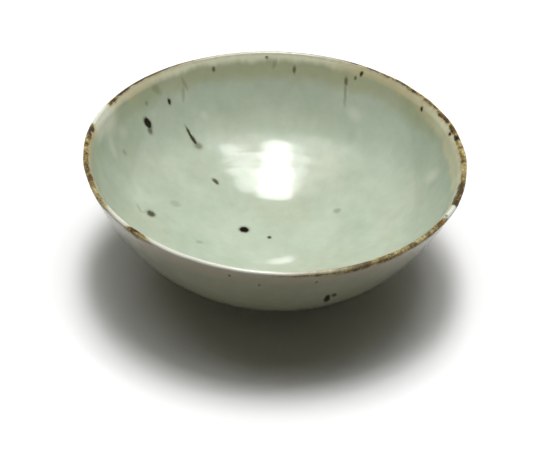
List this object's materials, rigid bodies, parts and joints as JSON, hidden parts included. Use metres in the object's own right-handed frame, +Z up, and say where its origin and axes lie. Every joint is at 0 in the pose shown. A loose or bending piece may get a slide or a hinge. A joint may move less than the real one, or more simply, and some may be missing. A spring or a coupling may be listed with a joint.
{
  "type": "ceramic bowl",
  "caption": "Thin-walled thrown bowl on a turned foot ring, pale green glaze inside and out, iron-brown lip with two pale interruptions.",
  "frame": {"origin": "on the table under the middle of the foot ring", "axes": "+Z up through the middle of the bowl, -Y towards the picture's viewer, +X to the viewer's right"},
  "size_m": [0.1644, 0.1654, 0.0615],
  "materials": {
    "clay": "bare fired stoneware, matt and gritty",
    "glaze_inside": "glossy pale green glaze with iron specks",
    "glaze_outside": "glossy pale olive green glaze",
    "glaze_foot_recess": "thin glossy glaze",
    "brown_rim": "thin glaze browned by iron, half gloss, mottled",
    "rim_patch": "thick pale glaze, half gloss"
  },
  "bodies": {
    "root": {"clay_body": "clay", "glaze_inside": "glaze_inside", "glaze_outside": "glaze_outside", "glaze_foot_recess": "glaze_foot_recess", "brown_rim_back": "brown_rim", "brown_rim_front": "brown_rim", "rim_patch_left": "rim_patch", "rim_patch_right": "rim_patch"}
  },
  "joints": []
}
